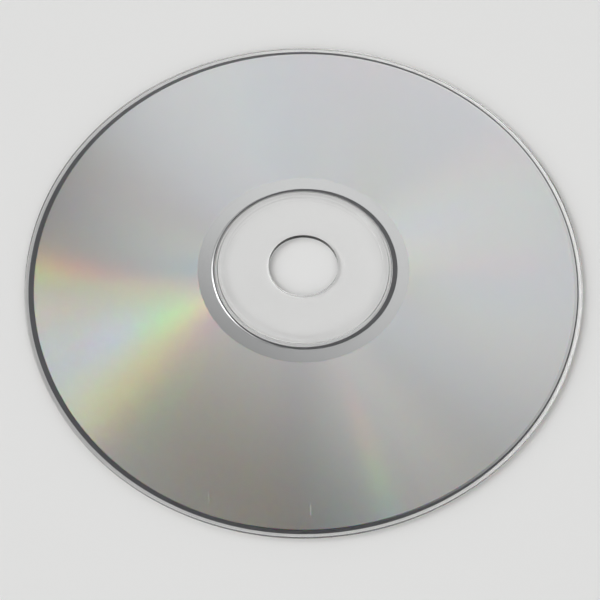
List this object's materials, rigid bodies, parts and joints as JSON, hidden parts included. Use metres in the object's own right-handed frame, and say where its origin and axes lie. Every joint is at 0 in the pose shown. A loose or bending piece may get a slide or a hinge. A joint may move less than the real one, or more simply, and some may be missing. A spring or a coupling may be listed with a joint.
{
  "type": "music disc",
  "caption": "Flat round pressed audio disc with a centre hole, a clear hub and rim, and a mirrored read side that shows spectral streaks.",
  "frame": {"origin": "on the spindle axis, in the plane of the label side that the disc lies on", "axes": "+Z along the spindle axis, from the label side to the read side; +X to the picture's right, +Y away from the camera"},
  "size_m": [0.12, 0.12, 0.0014],
  "materials": {
    "clear_polycarbonate": "clear moulded, polished",
    "reflector_film": "sputtered mirror with a fine spiral track",
    "label_lacquer": "plain grey printed ink under cured lacquer, satin"
  },
  "bodies": {
    "root": {"polycarbonate_disc": "clear_polycarbonate", "aluminium_film": "reflector_film", "label_coat": "label_lacquer"}
  },
  "joints": []
}
